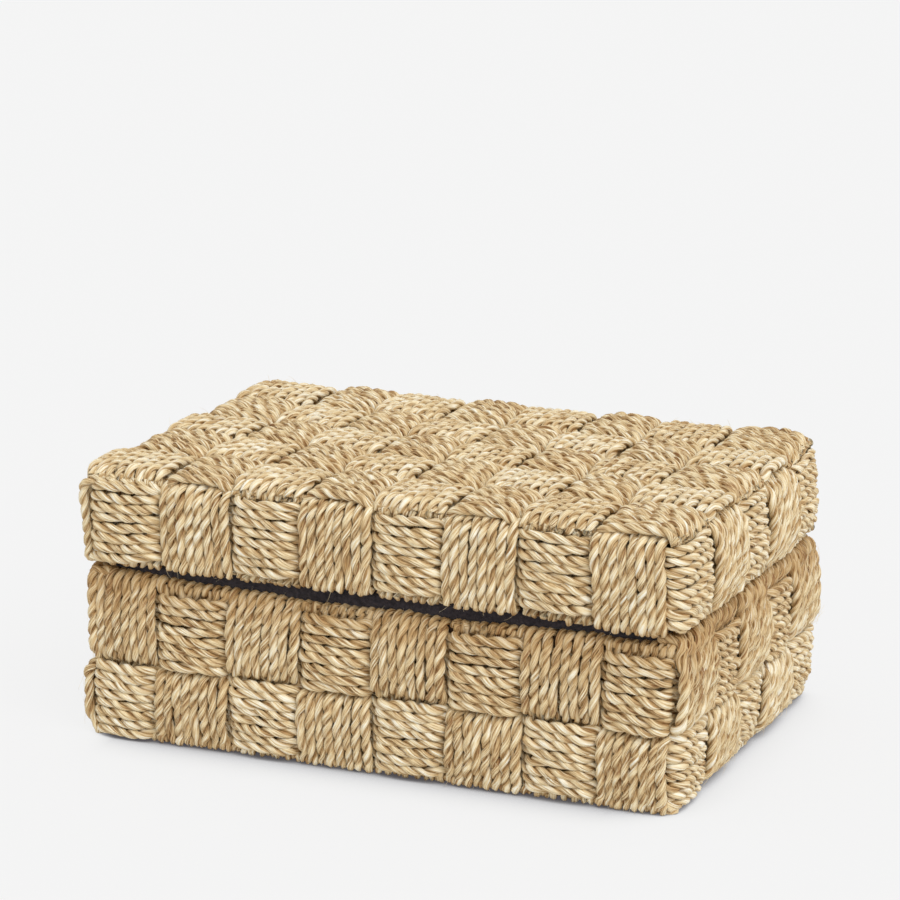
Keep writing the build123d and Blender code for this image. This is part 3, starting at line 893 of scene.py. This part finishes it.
def hoop_band(name, body, heights, sides, parity, inset, sag):
    """A band round all four sides."""
    line = hoop_trace(sides, parity, inset)
    return Band(name, body, (X, Y, Z), heights, lambda z: line, sag=sag)


# ---------------- felt
def around(depth, radius):
    """Stations round the box at a depth inside its outer planes, with rounded corners."""
    width, length = half_width - depth - radius, half_depth - depth - radius
    corners = ((width, length), (-width, length), (-width, -length), (width, -length))
    parts = []
    for number, middle in enumerate(corners):
        angles = np.linspace(number, number + 1, arc_stations) * np.pi / 2
        arc = radius * np.stack([np.cos(angles), np.sin(angles)], 1)
        end = np.array(corners[(number + 1) % 4]) + arc[-1]
        share = np.linspace(0, 1, felt_steps[number % 2] + 1)[1:-1, None]
        last = np.array(middle) + arc[-1]
        parts += [np.array(middle) + arc, last + share * (end - last)]
    return np.vstack(parts)


def felt_piece(name, node, body, section, fuzz, rng):
    """Felt as rings round the box, from one flat face over its edges to the other.

    Each ring has a depth, a corner radius and a height, which may be a function of place.
    """
    rings = []
    for depth, radius, height in section:
        flat = around(depth, radius)
        if callable(height):
            height = height(flat)
        rings.append(np.column_stack([flat, np.broadcast_to(height, len(flat))]))
    rings = np.array(rings)
    # The base's felt stops short of the hinge leaves.
    x, y = rings[:, :, 0], rings[:, :, 1]
    aside = np.min([abs(x - middle) for middle in hinge_middles], axis=0)
    beside_leaf = aside < leaf_half - leaf_overlap
    rings[:, :, 1] = np.where(beside_leaf, np.minimum(y, half_depth - leaf_reach), y)
    # Felt is a little uneven at its edges.
    place = np.arctan2(y / half_depth, x / half_width)
    outward = rings * (1, 1, 0) / np.linalg.norm(rings[:, :, :2], axis=2)[:, :, None]
    uneven = sum(np.sin(n * place + rng.uniform(*phases)) for n in felt_waves)
    edge = np.array([[depth < felt_edge] for depth, _, _ in section])
    rings += outward * (felt_uneven * uneven * edge)[:, :, None]
    data = MeshData()
    data.tube(rings)
    if fuzz:
        lay_fuzz(data, rings[fuzz[0] : fuzz[1]], rng)
    piece = data.make(name, felt_material)
    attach(piece, body)
    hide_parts(node)


def lay_fuzz(data, rings, rng):
    """Short fibres that stand off a felt edge."""
    turn = np.linspace(0, 2 * np.pi, 3, endpoint=False)
    for _ in range(fuzz_count):
        i, j = rng.integers(len(rings) - 1), rng.integers(rings.shape[1] - 1)
        root = rings[i, j] + rng.random() * (rings[i + 1, j] - rings[i, j])
        root = root + rng.random() * (rings[i, j + 1] - rings[i, j])
        outward = root * (1, 1, 0) / np.linalg.norm(root[:2])
        bend = rng.normal(0, fuzz_spread, 3) * (1, 1, 0.5)
        length = rng.uniform(*fuzz_length)
        made = []
        for step in (0, 0.5, 1):
            middle = root + length * step * (outward * fuzz_out + bend * (fuzz_curl + step))
            thin = fuzz_radius * (1 - fuzz_taper * step)
            made.append([middle + thin * np.array([math.cos(q), 0, math.sin(q)]) for q in turn])
        data.tube(np.array(made))


def on_rim(share):
    """Heights between the base's rope rim, a share of the way up to the felt's top."""

    def height(flat):
        x, y = flat.T
        front = base_crest - np.interp(x, rim_places, rim_drops)
        other = base_crest - np.where(y > half_depth - rim_zone, 0.0, side_drop)
        low = np.where(y < rim_zone - half_depth, front, other) - rim_overlap
        return low + share * (felt_top - low)

    return height


def felt_pieces():
    """The linings and the underside panel, each from its flat middle outwards and back."""
    rng = np.random.default_rng(SEED)
    low = base_felt[0]
    section = [(60, 3, low), (17.0, 3, low), (15.6, 4, low + 0.8), (15.6, 5, on_rim(0.0))]
    section += [(10.2, 8, on_rim(0.0)), (9.2, 8, on_rim(0.12)), (9.0, 8, on_rim(0.45))]
    section += [(9.2, 8, on_rim(0.78)), (9.8, 8, on_rim(0.94)), (10.8, 7, on_rim(1.0))]
    section += [(15.8, 4, on_rim(1.0)), (16.7, 4, on_rim(0.95)), (17.1, 4, felt_top - 1.2)]
    section += [(17.1, 4, low + 3.8), (17.5, 4, low + 2.4), (18.8, 4, low + 1.7)]
    section += [(60, 3, low + 1.6)]
    felt_piece("base_felt", "base_lining", "base", section, (4, 10), rng)
    low, high = lid_felt
    section = [(60, 3, high - 1.6), (18.8, 4, high - 1.7), (17.5, 4, high - 2.4)]
    section += [(17.1, 4, high - 3.8), (17.1, 4, low + 0.9), (16.9, 4, low + 0.3)]
    section += [(16.3, 4, low + 0.1), (15.9, 4, low + 0.2), (15.6, 4, low + 0.7)]
    section += [(15.6, 4, high), (60, 3, high)]
    felt_piece("lid_felt", "lid_lining", "lid", section, (4, 9), rng)
    low, high = panel_felt
    section = [(60, 3, low + 0.3), (17.0, 4, low + 0.3), (15.7, 4, low + 0.7)]
    section += [(15.3, 4, low + 1.6), (15.3, 4, high - 1.0), (15.7, 4, high - 0.3)]
    section += [(17.0, 4, high), (60, 3, high)]
    felt_piece("underside_felt", "underside_panel", "base", section, None, rng)


# ---------------- materials
def srgb(r, g, b):
    """A colour written as it shows, from 0 to 255, for a shader."""

    def line(c):
        c /= 255
        return c / 12.92 if c <= 0.04045 else ((c + 0.055) / 1.055) ** 2.4

    return (line(r), line(g), line(b), 1.0)


rope_colours = [
    (0.22, srgb(150, 110, 66)),
    (0.40, srgb(212, 183, 134)),
    (0.58, srgb(238, 220, 179)),
    (0.80, srgb(252, 247, 230)),
]
wide_scale, wide_shift = 0.5, -0.5
tone_scale, fine_scale = 0.055, 1.5
# Brown that the painted shade multiplies into the rope's colour.
painted_shade_brown = (0.70, 0.58, 0.44, 1)
white = (1, 1, 1, 1)
wide_streaks = ((0.07, 0.6, 0.6), 2.0)  # stretch and detail of the noise
fine_streaks = ((0.13, 1.4, 1.4), 4.0)
rope_rough = (0.45, 0.75)
cloud_stops = (0.3, 0.7)  # where a cloudy colour is darkest and palest


def node_material(name):
    made = bpy.data.materials.new(name)
    made.use_nodes = True
    tree = made.node_tree
    tree.nodes.clear()
    shader = add(tree, "BsdfPrincipled")
    add(tree, "OutputMaterial", i0=shader.outputs[0])
    return made, tree, shader


def fill(tree, node, **inputs):
    """Set a node's inputs, each to a value or from another node's output."""
    for key, value in inputs.items():
        numbered = key[0] == "i" and key[1:].isdigit()
        socket = node.inputs[int(key[1:]) if numbered else key.replace("_", " ")]
        if isinstance(value, bpy.types.NodeSocket):
            tree.links.new(value, socket)
        else:
            socket.default_value = value


def add(tree, kind, settings=(), **inputs):
    """A new node with its settings and inputs."""
    node = tree.nodes.new("ShaderNode" + kind)
    for key, value in dict(settings).items():
        setattr(node, key, value)
    fill(tree, node, **inputs)
    return node


def maths(tree, operation, *values):
    """The result of a sum on values and other nodes' outputs."""
    inputs = {f"i{number}": value for number, value in enumerate(values)}
    return add(tree, "Math", {"operation": operation}, **inputs).outputs[0]


def ramp(tree, factor, stops):
    """A colour for each value of a factor."""
    node = tree.nodes.new("ShaderNodeValToRGB")
    elements = node.color_ramp.elements
    while len(elements) < len(stops):
        elements.new(0.5)
    for element, (place, colour) in zip(elements, stops):
        element.position = place
        element.color = colour
    tree.links.new(factor, node.inputs[0])
    return node.outputs[0]


def streaks(tree, vector, scale, detail):
    """Noise on the fibre coordinates, long along the yarn and narrow across it."""
    mapped = add(tree, "VectorMath", {"operation": "MULTIPLY"}, i0=vector, i1=scale).outputs[0]
    return add(tree, "TexNoise", Vector=mapped, Scale=1.0, Detail=detail).outputs["Fac"]


def abaca():
    """Rope: pale fibres, with painted shade between the yarns and at the base's rim."""
    made, tree, shader = node_material("abaca rope")
    fibre = add(tree, "Attribute", {"attribute_name": "fibre"}).outputs["Vector"]
    tone = add(tree, "Attribute", {"attribute_name": "tone"}).outputs["Fac"]
    groove = add(tree, "Attribute", {"attribute_name": "groove"}).outputs["Fac"]
    wide = streaks(tree, fibre, *wide_streaks)
    fine = streaks(tree, fibre, *fine_streaks)
    # Each yarn's own tone, wide streaks and fine fibres.
    own = maths(tree, "MULTIPLY_ADD", wide, wide_scale, wide_shift)
    base = maths(tree, "MULTIPLY_ADD", tone, tone_scale, own)
    colour = ramp(tree, maths(tree, "MULTIPLY_ADD", fine, fine_scale, base), rope_colours)
    # The painted shade between the yarns and at the rim darkens the colour.
    brown = ramp(tree, groove, [(0.0, white), (1.0, painted_shade_brown)])
    shaded = add(tree, "VectorMath", {"operation": "MULTIPLY"}, i0=colour, i1=brown).outputs[0]
    bump = add(tree, "Bump", Strength=0.8, Distance=0.001, Height=fine).outputs[0]
    low, high = rope_rough
    rough = add(tree, "MapRange", Value=fine, To_Min=low, To_Max=high).outputs[0]
    fill(tree, shader, Base_Color=shaded, Normal=bump, Roughness=rough, Specular_IOR_Level=0.4)
    return made


def cloudy(name, scale, detail, dark, pale):
    """A material whose colour wanders between two."""
    made, tree, shader = node_material(name)
    place = add(tree, "TexCoord").outputs["Object"]
    cloud = add(tree, "TexNoise", Vector=place, Scale=scale, Detail=detail).outputs["Fac"]
    fill(tree, shader, Base_Color=ramp(tree, cloud, list(zip(cloud_stops, (dark, pale)))))
    return made, tree, shader, cloud


def felt():
    dark, pale = srgb(32, 28, 31), srgb(62, 56, 60)
    made, tree, shader, cloud = cloudy("charcoal felt", 700.0, 5.0, dark, pale)
    bump = add(tree, "Bump", Strength=0.8, Distance=0.0005, Height=cloud).outputs[0]
    fill(tree, shader, Normal=bump, Roughness=0.95, Specular_IOR_Level=0.2, Sheen_Weight=0.25)
    return made


def plain(name, colour, rough, metal=0.0):
    darker = tuple(0.8 * c for c in colour[:3]) + (1.0,)
    made, tree, shader, _ = cloudy(name, 120.0, 4.0, darker, colour)
    fill(tree, shader, Roughness=rough, Metallic=metal)
    return made


# ---------------- camera, light, floor
photo_size, focal_length = 900, 3633  # pixels
sensor_width = 36.0
view_unit = 37.654  # mm, in which the view was fitted
view_azimuth, view_elevation = 23.63, 14.18  # degrees
view_distance = 46.54 * view_unit
view_target = (-0.099 * view_unit, 0, 3.522 * view_unit)
near_clip = 0.05  # metres

backdrop_grey = srgb(244, 244, 244)
floor_grey = (0.86, 0.86, 0.86, 1)
floor_reach = 3.0  # metres, as are the shadow's sizes
world_strength = 0.75
lit_share = 0.08  # of the floor's look that comes from the lamps
shadow_reach = 0.055
left_edge = (-0.165, -0.135)  # x between which the shadow fades in
right_edge = (0.12, 0.155)  # and between which it weakens
right_share = 0.7
shadow_stops = [  # how much of the sky the box hides nearby, and the floor's grey there
    (0.00, backdrop_grey),
    (0.22, srgb(243, 243, 243)),
    (0.30, srgb(239, 239, 239)),
    (0.36, srgb(235, 235, 235)),
    (0.41, srgb(227, 227, 228)),
    (0.46, srgb(215, 215, 217)),
    (0.53, srgb(190, 190, 192)),
    (0.62, srgb(140, 139, 142)),
    (0.80, srgb(80, 78, 82)),
]


def camera():
    """The photograph's viewpoint."""
    azimuth, elevation = math.radians(view_azimuth), math.radians(view_elevation)
    flat = math.cos(elevation)
    back = Vector((math.sin(azimuth) * flat, -math.cos(azimuth) * flat, math.sin(elevation)))
    data = bpy.data.cameras.new("camera")
    data.sensor_width = sensor_width
    data.lens = focal_length / photo_size * sensor_width
    data.clip_start = near_clip
    made = put("camera", data)
    made.location = Vector(view_target) * MM + back * view_distance * MM
    made.rotation_mode = "QUATERNION"
    made.rotation_quaternion = (-back).to_track_quat("-Z", "Y")
    bpy.context.scene.camera = made


def sun_light(name, direction, strength, angle):
    data = bpy.data.lights.new(name, "SUN")
    data.energy = strength
    data.angle = math.radians(angle)
    made = put(name, data)
    made.rotation_mode = "QUATERNION"
    made.rotation_quaternion = Vector(direction).to_track_quat("Z", "Y")


def seen_by_camera(tree, lit, seen):
    """A shader that shows one thing to the camera, mirrors and glass, and another to the light."""
    path = tree.nodes.new("ShaderNodeLightPath").outputs
    seen_ray = maths(tree, "MAXIMUM", path["Is Camera Ray"], path["Is Glossy Ray"])
    seen_ray = maths(tree, "MAXIMUM", seen_ray, path["Is Transmission Ray"])
    return add(tree, "MixShader", i0=seen_ray, i1=lit, i2=seen).outputs[0]


def sky():
    """Even white light, and the photograph's pale grey where it is seen."""
    world = bpy.data.worlds.new("studio")
    bpy.context.scene.world = world
    world.use_nodes = True
    tree = world.node_tree
    light = tree.nodes["Background"]
    fill(tree, light, Color=white, Strength=world_strength)
    pale = add(tree, "Background", Color=backdrop_grey, Strength=1.0)
    shown = seen_by_camera(tree, light.outputs[0], pale.outputs[0])
    fill(tree, tree.nodes["World Output"], i0=shown)


def backdrop():
    """A floor of the same grey, darker close to the box."""
    mesh = bpy.data.meshes.new("floor")
    signs = ((-1, -1), (1, -1), (1, 1), (-1, 1))
    corners = [(x * floor_reach, y * floor_reach, 0) for x, y in signs]
    mesh.from_pydata(corners, [], [(0, 1, 2, 3)])
    made, tree, shader = node_material("floor")
    fill(tree, shader, Base_Color=floor_grey, Roughness=0.9, Specular_IOR_Level=0.0)
    close = add(tree, "AmbientOcclusion", {"samples": 16}, Distance=shadow_reach).outputs["AO"]
    place = add(tree, "NewGeometry").outputs["Position"]
    x = add(tree, "SeparateXYZ", Vector=place).outputs["X"]
    hidden = maths(tree, "SUBTRACT", 1.0, close)
    for (start, end), before, after in ((left_edge, 0.0, 1.0), (right_edge, 1.0, right_share)):
        reach = {"From_Min": start, "From_Max": end, "To_Min": before, "To_Max": after}
        share = add(tree, "MapRange", Value=x, **reach).outputs["Result"]
        hidden = maths(tree, "MULTIPLY", hidden, share)
    pale = add(tree, "Emission", Color=ramp(tree, hidden, shadow_stops), Strength=1.0).outputs[0]
    mixed = add(tree, "MixShader", Fac=lit_share, i1=pale, i2=shader.outputs[0]).outputs[0]
    shown = seen_by_camera(tree, shader.outputs[0], mixed)
    fill(tree, tree.nodes["Material Output"], i0=shown)
    mesh.materials.append(made)
    floor = put("floor", mesh)


# ---------------- the whole scene
bpy.context.scene.view_settings.view_transform = "Standard"
camera()
sky()
backdrop()
sun_light("key", direction=(0.72, -0.56, 1.0), strength=1.55, angle=45.0)

rope_material = abaca()
felt_material = felt()
board_material = plain("board", srgb(96, 72, 50), 0.7)
brass_material = plain("brass", srgb(214, 184, 118), 0.35, 1.0)

lid_sides = side_list(lid_columns, lid_rows)
base_sides = side_list(base_columns, base_rows)
bands = [lid_column(k) for k in range(column_count)]
bands += [lid_row(j) for j in range(row_count)]
bands += base_uprights()
bands += [
    hoop_band("lid_hoop", "lid", lid_hoop, lid_sides, 0, lid_inset, lid_sag),
    hoop_band("base_lower_hoop", "base", lower_hoop, base_sides, 0, lower_inset, lower_sag),
    hoop_band("base_upper_hoop", "base", upper_hoop, base_sides, 1, upper_inset, 0.0),
]
for number, band in enumerate(bands):
    make_band(band, rope_material, np.random.default_rng(SEED + number))
felt_pieces()

for name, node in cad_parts.items():
    if not node.hide_render:
        node.data.materials.clear()
        node.data.materials.append(brass_material if "hinge" in name else board_material)
